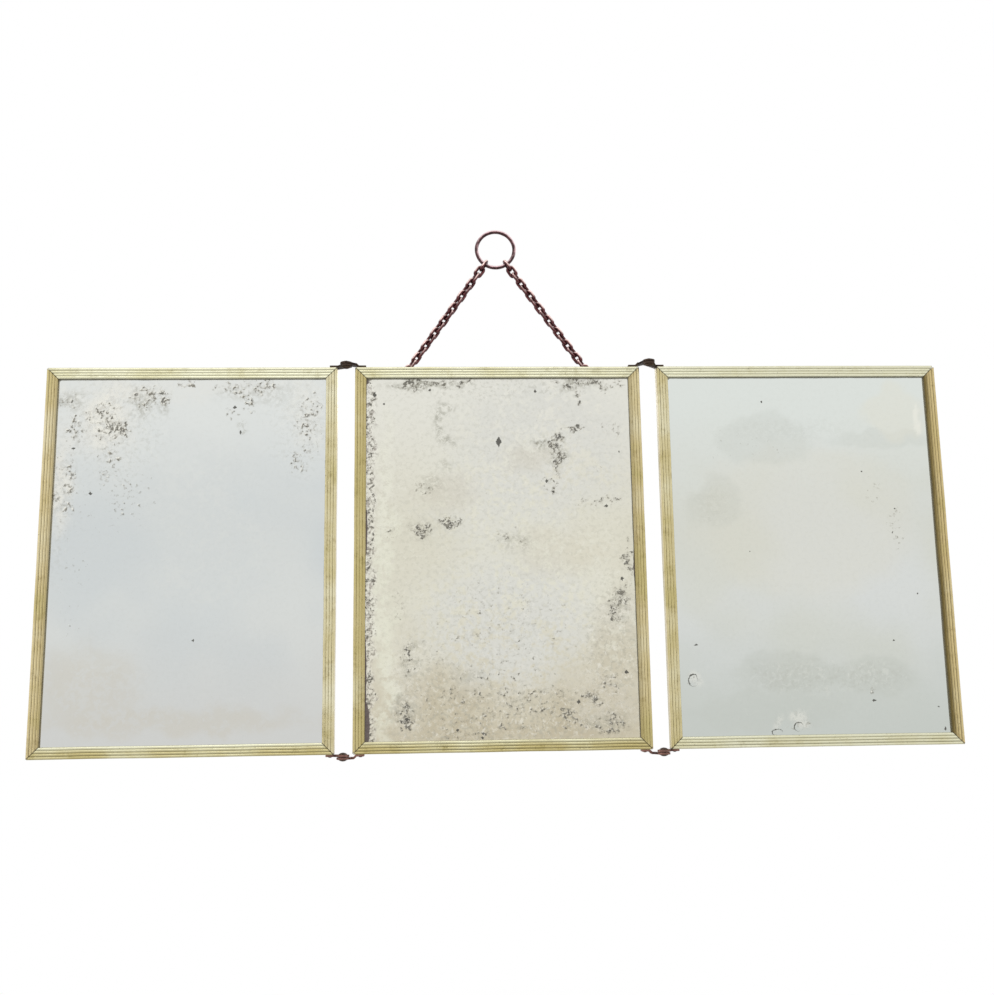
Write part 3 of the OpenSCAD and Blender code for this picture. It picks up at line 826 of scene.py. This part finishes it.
def ease_edges(bm, radius, angle=40):
    """Rounds the edges that turn by more than the angle."""
    sharp = [e for e in bm.edges if e.is_manifold and e.calc_face_angle() > math.radians(angle)]
    bmesh.ops.bevel(bm, geom=sharp, offset=radius, segments=2, profile=0.5, affect="EDGES")


def piece_of(bm, name, material, crease=35):
    """The finished mesh as an object of the scene."""
    mesh = bpy.data.meshes.new(name)
    bm.to_mesh(mesh)
    bm.free()
    mesh.polygons.foreach_set("use_smooth", [True] * len(mesh.polygons))
    mesh.set_sharp_from_angle(angle=math.radians(crease))
    mesh.materials.clear()
    mesh.materials.append(material)
    return placed(name, mesh)


upper_patina = dark_patina("patina of the upper straps", srgb("#1c1210"), srgb("#3f2e27"),
                           srgb("#8d7c68"), 0.3)
lower_patina = dark_patina("patina of the lower straps", srgb("#3a1f1a"), srgb("#6b4238"),
                           srgb("#d6aa9c"), 0.5)
WINGS = {"left": "left_wing", "right": "right_wing"}
for end, patina in {"top": upper_patina, "bottom": lower_patina}.items():
    for side, wing in WINGS.items():
        for kind, body in {"wing": wing, "centre": "centre_panel"}.items():
            node = f"{end}_{side}_{kind}_strap"
            bm = copy_mesh(node)
            ease_edges(bm, STRAP_EASE)
            strap = piece_of(bm, node + "_eased", patina)
            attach(strap, body)
            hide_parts(node)

# ---- Rivets ----
# Domed brass rivets. A large one joins the two straps of each hinge, and a small one holds each
# strap's foot on its rail. All are set by hand, a little askew.

RIVET_SIDES = 24


def spun_rivet(name, outline, material):
    """A rivet turned about Z from its outline, a list of (radius, height) from foot to crown."""
    bm = bmesh.new()
    verts = [bm.verts.new((radius, 0, height)) for radius, height in outline]
    for lower, upper in zip(verts, verts[1:]):
        bm.edges.new((lower, upper))
    bmesh.ops.spin(bm, geom=bm.verts[:] + bm.edges[:], cent=(0, 0, 0), axis=(0, 0, 1),
                   angle=math.tau, steps=RIVET_SIDES)
    bmesh.ops.remove_doubles(bm, verts=bm.verts, dist=0.002 * MM)
    bmesh.ops.recalc_face_normals(bm, faces=bm.faces)
    return piece_of(bm, name, material)


def dome(radius, height, base, steps=7):
    """Outline of a low dome that stands on a base height, from its rim to its crown."""
    ball = (radius ** 2 + height ** 2) / (2 * height)
    arc = math.asin(min(1, radius / ball))
    turns = [arc * (1 - i / steps) for i in range(steps + 1)]
    return [(ball * math.sin(t), base + height - ball * (1 - math.cos(t))) for t in turns]


def new_tree(name, inputs):
    """An empty tree of Geometry Nodes: a socket to build from, and one for each of the inputs,
    which are given as names with their kinds."""
    tree = bpy.data.node_groups.new(name, "GeometryNodeTree")
    for label, kind in inputs.items():
        tree.interface.new_socket(label, in_out="INPUT", socket_type="NodeSocket" + kind)
    tree.interface.new_socket("Geometry", in_out="OUTPUT", socket_type="NodeSocketGeometry")
    given = tree.nodes.new("NodeGroupInput")
    return Socket(tree), [Socket(tree, given.outputs[i]) for i in range(len(inputs))]


def tree_end(start, solid, finish):
    """Ends a tree with its material on."""
    painted = start.node("GeometryNodeSetMaterial", {}, {"Geometry": solid, "Material": finish})
    feed(start.tree.nodes.new("NodeGroupOutput"), {0: painted})
    return start.tree


def rivet_tree():
    """Sets one rivet on each point of a mesh, upside down below a height, and turned a little."""
    start, (spots, rivet, middle, finish) = new_tree("Set rivets", {
        "Geometry": "Geometry", "Rivet": "Object", "Middle": "Float", "Finish": "Material"})
    height, = start.node("GeometryNodeInputPosition").split("Z")
    flipped = height.math("LESS_THAN", height, middle) * math.pi
    askew = start.node("FunctionNodeRandomValue", {"data_type": "FLOAT_VECTOR"}, {
        0: (-0.03, -0.03, 0), 1: (0.03, 0.03, 6), "Seed": 4})
    turned = start.vector("ADD", start.joined(X=flipped), askew)
    shape = start.node("GeometryNodeObjectInfo", {}, {"Object": rivet}, "Geometry")
    instances = start.node("GeometryNodeInstanceOnPoints", {}, {
        "Points": spots, "Instance": shape, "Rotation": turned})
    solid = start.node("GeometryNodeRealizeInstances", {}, {"Geometry": instances})
    return tree_end(start, solid, finish)


def from_nodes(name, tree, values, points=()):
    """A plain mesh made by a Geometry Nodes tree from points, its inputs given by name."""
    seed_mesh = bpy.data.meshes.new(name)
    seed_mesh.from_pydata([tuple(p) for p in points], [], [])
    maker = placed(name + "_maker", seed_mesh)
    modifier = maker.modifiers.new("make", "NODES")
    modifier.node_group = tree
    for item in tree.interface.items_tree:
        if item.in_out == "INPUT" and item.name in values:
            modifier[item.identifier] = values[item.name]
    bpy.context.view_layer.update()
    ready = maker.evaluated_get(bpy.context.evaluated_depsgraph_get())
    mesh = bpy.data.meshes.new_from_object(ready)
    mesh.name = name
    maker.modifiers.remove(modifier)
    bpy.data.objects.remove(maker)
    bm = bmesh.new()
    bm.from_mesh(mesh)
    bmesh.ops.recalc_face_normals(bm, faces=bm.faces)
    bm.to_mesh(mesh)
    bm.free()
    mesh.polygons.foreach_set("use_smooth", [True] * len(mesh.polygons))
    mesh.set_sharp_from_angle(angle=math.radians(40))
    return placed(name, mesh)


set_rivets = rivet_tree()

# Hinge rivets: two heads of the same size on a thick shank
pin_low, pin_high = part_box("top_left_hinge_rivet")
PIN_HEAD = (pin_high.x - pin_low.x) / 2
PIN_HEAD_RISE = 1.1 * MM
PIN_SHANK = 1.2 * MM
pin_length = pin_high.z - pin_low.z
crown = dome(PIN_HEAD, PIN_HEAD_RISE, pin_length / 2 - PIN_HEAD_RISE)
foot = [(radius, -height) for radius, height in reversed(crown)]
rivet_patina = dark_patina("patina of the hinge rivets", srgb("#2a1c18"), srgb("#4f3c33"),
                           srgb("#a3907a"), 0.4)
shank = [(PIN_SHANK, foot[-1][1]), (PIN_SHANK, crown[0][1])]
pin = spun_rivet("hinge_rivet_pattern", foot + shank + crown, rivet_patina)
pin_nodes = [f"{end}_{side}_hinge_rivet" for end in ("top", "bottom") for side in WINGS]
pin_spots = [centre_of(node) for node in pin_nodes]
pins = from_nodes("hinge_rivets_set", set_rivets, {
    "Rivet": pin, "Middle": -1.0, "Finish": rivet_patina}, pin_spots)
bpy.data.objects.remove(pin)
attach(pins, "centre_panel")
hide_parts(*pin_nodes)

# Strap rivets: a domed head on the strap and a flat tail inside the rail
SMALL_HEAD = 1.5 * MM
SMALL_RISE = 0.6 * MM
SMALL_SHANK = 0.8 * MM
TAIL = 0.4 * MM
for panel, body in BODIES.items():
    node = f"{panel}_strap_rivets"
    low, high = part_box(node)
    top_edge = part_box(f"{panel}_top_rail")[1].z
    reach = high.z - top_edge
    outline = [(0, -SHEET - TAIL), (SMALL_HEAD, -SHEET - TAIL), (SMALL_HEAD, -SHEET),
               (SMALL_SHANK, -SHEET), (SMALL_SHANK, reach - SMALL_RISE)]
    outline += dome(SMALL_HEAD, SMALL_RISE, reach - SMALL_RISE)
    rivet = spun_rivet("strap_rivet_pattern", outline, rivet_patina)
    bottom_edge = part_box(f"{panel}_bottom_rail")[0].z
    depth = (low.y + high.y) / 2
    columns = [(low.x + high.x) / 2]
    if panel == "centre":
        columns = [low.x + SMALL_HEAD, high.x - SMALL_HEAD]
    spots = [(x, depth, edge) for edge in (top_edge, bottom_edge) for x in columns]
    rivets = from_nodes(node + "_set", set_rivets, {
        "Rivet": rivet, "Middle": (top_edge + bottom_edge) / 2, "Finish": rivet_patina}, spots)
    bpy.data.objects.remove(rivet)
    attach(rivets, body)
    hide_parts(node)

# ---- Chain eyes ----
# Two small brass plates on the rear lip of the middle frame, each with a wire loop that the
# chain's last link hooks on, and two rivets. They are behind the frame, so they keep their tone.


def aged_brass(name, pale, deep):
    """Plain brass with brown stains."""
    material, shader, start = new_finish(name)
    place = start.on_piece()
    stain = place.grain(330, 5, 0.65)
    fine = place.grain(1500, 3, 0.6)
    feed(shader, {
        "Base Color": stain.ease(0.38, 0.66).tint(pale, deep),
        "Metallic": 0.95,
        "Roughness": 0.3 + stain * 0.3,
        "Normal": (fine * 0.4 + stain * 0.6).relief(0.04 * MM, 0.6),
    })
    return material


eye_brass = aged_brass("brass of the chain eyes", srgb("#c3b273"), srgb("#7c6a40"))
for side in WINGS:
    for kind, ease in {"eye_plate": 0.15 * MM, "eye_loop": 0}.items():
        node = f"{side}_{kind}"
        bm = copy_mesh(node)
        if ease:
            ease_edges(bm, ease)
        eye = piece_of(bm, node + "_finished", eye_brass)
        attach(eye, "centre_panel")
        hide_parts(node)
coat("eye_rivets", eye_brass)

# ---- Chains ----
# Two strands of nineteen short oval links, bent from coppered steel wire and joined one through
# the next. The end links stand square to the ring and the eye, and the others hang rolled by an
# eighth of a turn.

LINKS = 19
LINK_PITCH = 5.25 * MM
LINK_WIRE = 2.05 * MM
LINK_CENTRES = 7.25 * MM
LINK_BOW = 2.07 * MM
RING_LINK_BOW = 2.5 * MM
FIRST_BOW = 10.15 * MM
LINK_ROLL = math.radians(45)
ROLL_STEP = math.radians(15)


def copper_wire(name, deep, warm, bright):
    """Dark coppered wire, bright where the mesh marks it: worn bare copper with a painted
    highlight.
    """
    material, shader, start = new_finish(name)
    place = start.on_piece()
    rub = start.marked("rub")
    skin = place.grain(420, 4, 0.6)
    fine = place.grain(1700, 3, 0.6)
    colour = skin.ease(0.36, 0.64).tint(deep, warm)
    # Worn bare copper and painted highlight where the mesh's mark is high
    bare = (rub * (skin * 1.6 + 0.2)).ease(0.12, 0.70)
    feed(shader, {
        "Base Color": bare.tint(colour, bright),
        "Metallic": 0.9,
        "Roughness": 0.30 + fine * 0.15,
        "Coat Weight": 0.35,
        "Coat Roughness": 0.15,
        "Normal": (skin * 0.6 + fine * 0.4).relief(0.05 * MM, 0.6),
    })
    return material


def strand_tree():
    """A strand of links down the -Z axis, leaned over about Y."""
    start, given = new_tree("Strand of links", {
        "Links": "Int", "Pitch": "Float", "Wire": "Float", "Bow": "Float",
        "Ring link bow": "Float", "Centres": "Float", "First bow": "Float", "Roll": "Float",
        "Roll step": "Float", "Side": "Float", "Lean": "Float", "Finish": "Material"})
    links, pitch, wire, bow, ring_bow, centres, first, roll, roll_step, side, lean, finish = given

    def link(bend):
        """One oval link with bows of this radius, its sides marked where they face outward, for
        worn bare copper and a painted highlight."""
        loop = start.node("GeometryNodeCurvePrimitiveCircle", {}, {"Resolution": 28, "Radius": 1})
        across, up = start.node("GeometryNodeInputPosition").split("X", "Y")
        end = up.math("SIGN", up)
        shape = start.joined(X=across * bend, Z=up * bend + end * (centres / 2 - bend))
        bent = start.node("GeometryNodeSetPosition", {}, {"Geometry": loop, "Position": shape})
        round_wire = start.node("GeometryNodeCurvePrimitiveCircle", {}, {
            "Resolution": 12, "Radius": wire / 2})
        tube = start.node("GeometryNodeCurveToMesh", {}, {
            "Curve": bent, "Profile Curve": round_wire})
        outward = start.vector("NORMALIZE", start.node("GeometryNodeInputPosition"))
        facing = start.vector("DOT_PRODUCT", outward, start.node("GeometryNodeInputNormal"),
                              out="Value")
        return start.node("GeometryNodeStoreNamedAttribute", {"data_type": "FLOAT"}, {
            "Geometry": tube, "Name": "rub", "Value": facing.most(0) ** 2})

    # The row, each link a quarter turn from the last and rolled less towards both ends
    row = start.node("GeometryNodeMeshLine", {}, {
        "Count": links, "Start Location": start.joined(Z=0 - first - centres / 2),
        "Offset": start.joined(Z=0 - pitch)})
    index = start.node("GeometryNodeInputIndex")
    quarter = (1 - index.math("MODULO", index, 2)) * (math.pi / 2)
    rolled = roll.least(roll_step * index.least(links - 1 - index))
    askew = start.node("FunctionNodeRandomValue", {"data_type": "FLOAT_VECTOR"}, {
        0: (-0.03, -0.03, -0.07), 1: (0.03, 0.03, 0.07), "Seed": 11})
    turn = start.vector("ADD", start.joined(Z=(quarter + rolled) * (0 - side)), askew)
    on_ring = index.math("LESS_THAN", index, 0.5)
    linked = start.node("GeometryNodeJoinGeometry")
    for bend, chosen in ((ring_bow, on_ring), (bow, 1 - on_ring)):
        instances = start.node("GeometryNodeInstanceOnPoints", {}, {
            "Points": row, "Instance": link(bend), "Selection": chosen, "Rotation": turn})
        feed(linked.out.node, {0: instances})
    leaned = start.node("GeometryNodeTransform", {}, {
        "Geometry": linked, "Rotation": start.joined(Y=lean)})
    solid = start.node("GeometryNodeRealizeInstances", {}, {"Geometry": leaned})
    # Painted highlight: the mark is kept only where the wire faces up and to the front, towards the
    # light
    lit = start.vector("DOT_PRODUCT", start.node("GeometryNodeInputNormal"), (0, -0.6, 0.8),
                       out="Value")
    rub = start.node("GeometryNodeInputNamedAttribute", {"data_type": "FLOAT"}, {"Name": "rub"})
    solid = start.node("GeometryNodeStoreNamedAttribute", {"data_type": "FLOAT"}, {
        "Geometry": solid, "Name": "rub", "Value": rub * lit.ease(0.2, 1.0)})
    return tree_end(start, solid, finish)


chain_copper = copper_wire("coppered wire of the chain", srgb("#3a0c0f"), srgb("#683638"),
                           srgb("#f5d8d1"))
make_strand = strand_tree()
eye_reach = centre_of("right_eye_loop")
STRAND_LEAN = math.atan2(eye_reach.x, -eye_reach.z)
for side, sign in {"left": -1, "right": 1}.items():
    strand = from_nodes(f"{side}_chain_linked", make_strand, {
        "Links": LINKS, "Pitch": LINK_PITCH, "Wire": LINK_WIRE, "Bow": LINK_BOW,
        "Ring link bow": RING_LINK_BOW, "Centres": LINK_CENTRES, "First bow": FIRST_BOW,
        "Roll": LINK_ROLL, "Roll step": ROLL_STEP, "Side": float(sign),
        "Lean": -STRAND_LEAN * sign, "Finish": chain_copper})
    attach(strand, "chain")
    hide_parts(f"{side}_chain")

# ---- Hanging ring ----
# One turn of thick coppered wire, its ends brazed together a little to the right of the top. It
# goes over the nail, and the first link of each strand hangs in its lower half.

ring_low, ring_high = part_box("hanging_ring")
RING_WIRE = ring_high.y - ring_low.y
RING_RADIUS = (ring_high.x - ring_low.x - RING_WIRE) / 2
RING_STEPS = 120
WIRE_SIDES = 16
JOINT_TURN = math.radians(65)
# The turn round the ring, near the top, that its bright mark faces: worn copper and a painted
# highlight from the light above
LIT_AND_WORN_TURN = math.radians(70)
BRAZE = 0.10 * MM
UNEVEN = 0.08 * MM
# The wire is drawn this much thinner and the ring smaller, so that the joint stands no prouder
# than the solid ring
RING_ROOM = 0.06 * MM

bm = bmesh.new()
rub = bm.verts.layers.float.new("rub")
hoops = []
for step in range(RING_STEPS):
    turn = math.tau * step / RING_STEPS
    from_joint = (turn - JOINT_TURN) * RING_RADIUS / MM
    braze = BRAZE * math.exp(-from_joint * from_joint * 1.5)
    uneven = noise.noise(Vector((math.cos(turn), math.sin(turn), 3)) * 2) * UNEVEN
    hoop = []
    for spot in range(WIRE_SIDES):
        angle = math.tau * spot / WIRE_SIDES
        wire = RING_WIRE / 2 - RING_ROOM + braze
        out = RING_RADIUS - RING_ROOM + uneven + wire * math.cos(angle)
        vert = bm.verts.new((out * math.cos(turn), wire * math.sin(angle), out * math.sin(turn)))
        # Painted highlight with wear on the sides that face up: outward at the top of the ring and
        # inward at its bottom
        upward = math.cos(angle) * math.cos(turn - LIT_AND_WORN_TURN)
        vert[rub] = min(max(upward * 1.3 + 0.22, 0), 1)
        hoop.append(vert)
    hoops.append(hoop)
for hoop, after in zip(hoops, hoops[1:] + hoops[:1]):
    for spot in range(WIRE_SIDES):
        beside = (spot + 1) % WIRE_SIDES
        bm.faces.new((hoop[spot], hoop[beside], after[beside], after[spot]))
bmesh.ops.recalc_face_normals(bm, faces=bm.faces)
ring_copper = copper_wire("coppered wire of the ring", srgb("#2f1718"), srgb("#5a3638"),
                          srgb("#e9c9cc"))
ring = piece_of(bm, "hanging_ring_brazed", ring_copper)
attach(ring, "ring")
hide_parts("hanging_ring")

# ---- Floor, light and camera ----
# The mirror hangs free in front of white, over a round pale floor that fades to white at its
# rim, in soft light from above, both sides and behind. The camera looks up a little from below
# the middle of the frames.

FLOOR_DROP = 1.0
FLOOR_RADIUS = 2.2
FLOOR_LIFT = 0.45
FLOOR_FADE = 0.3


def shows_white(start):
    """1 on the rays from the camera, and on those by way of metal or glass."""
    paths = start.node("ShaderNodeLightPath").out.node
    seen, shiny, through = [Socket(start.tree, paths.outputs[f"Is {kind} Ray"])
                            for kind in ("Camera", "Glossy", "Transmission")]
    return seen.most(shiny).most(through)


bm = bmesh.new()
bmesh.ops.create_circle(bm, cap_ends=True, segments=96, radius=FLOOR_RADIUS,
                        matrix=Matrix.Translation((0, 0.1, -FLOOR_DROP)))
floor_paint, floor_shader, start = new_finish("pale floor")
place = start.on_piece()
feed(floor_shader, {
    "Base Color": place.grain(3, 4).tint(srgb("#f1f1ef"), srgb("#eaeae7")), "Roughness": 0.8})
outward = place.vector("LENGTH", place.scaled((1, 1, 0)), out="Value")
lift = outward.ease(FLOOR_FADE * FLOOR_RADIUS, FLOOR_RADIUS) * (1 - FLOOR_LIFT) + FLOOR_LIFT
white = start.node("ShaderNodeEmission", {}, {"Strength": 1.0})
lifted = start.node("ShaderNodeMixShader", {}, {
    0: lift * shows_white(start), 1: Socket(start.tree, floor_shader.outputs["BSDF"]), 2: white})
feed(start.tree.nodes["Material Output"], {"Surface": lifted})
floor = piece_of(bm, "floor", floor_paint)

WORLD_SOFT = 0.45
world = bpy.data.worlds.new("white room")
bpy.context.scene.world = world
world.use_nodes = True
world.node_tree.nodes.clear()
start = Socket(world.node_tree)
soft, white = [start.node("ShaderNodeBackground", {}, {"Color": (1, 1, 1, 1), "Strength": strength})
               for strength in (WORLD_SOFT, 1.0)]
sky = start.node("ShaderNodeMixShader", {}, {0: shows_white(start), 1: soft, 2: white})
feed(world.node_tree.nodes.new("ShaderNodeOutputWorld"), {"Surface": sky})

AIM = Vector((0, 0, -0.2))
# Places of the soft boxes, their sizes and how bright they look, where white paper is 1
SOFT_BOXES = {
    "above": ((-0.3, -1.3, 1.25), (1.6, 1.1), 1.05),
    "left": ((-1.9, -1.0, 0.1), (1.3, 1.6), 0.6),
    "right": ((1.9, -1.0, 0.1), (1.3, 1.6), 0.5),
    "behind": ((0.5, 1.7, 0.8), (1.4, 1.0), 1.2),
}
for label, (place, size, radiance) in SOFT_BOXES.items():
    lamp = bpy.data.lights.new(label + " soft box", "AREA")
    lamp.shape = "RECTANGLE"
    lamp.size, lamp.size_y = size
    lamp.energy = radiance * math.pi * size[0] * size[1]
    holder = placed(label + "_soft_box", lamp)
    holder.location = place
    holder.rotation_euler = (AIM - Vector(place)).to_track_quat("-Z", "Y").to_euler()

IMAGE_WIDTH = 994
IMAGE_HEIGHT = 995
FOCAL_PIXELS = 1116.9
SENSOR = 36.0
CAMERA_PLACE = Vector((-0.03216, -0.71264, -0.29265))
CAMERA_UP_TILT = math.radians(9.805)
CAMERA_YAW = math.radians(-2.477)
CAMERA_ROLL = math.radians(-0.852)

lens = bpy.data.cameras.new("camera")
lens.sensor_width = SENSOR
lens.lens = SENSOR * FOCAL_PIXELS / max(IMAGE_WIDTH, IMAGE_HEIGHT)
camera = placed("camera", lens)
camera.matrix_world = (
    Matrix.Translation(CAMERA_PLACE) @ Matrix.Rotation(CAMERA_YAW, 4, "Z")
    @ Matrix.Rotation(math.pi / 2 + CAMERA_UP_TILT, 4, "X") @ Matrix.Rotation(CAMERA_ROLL, 4, "Z"))
bpy.context.scene.camera = camera
bpy.context.scene.view_settings.view_transform = "Standard"
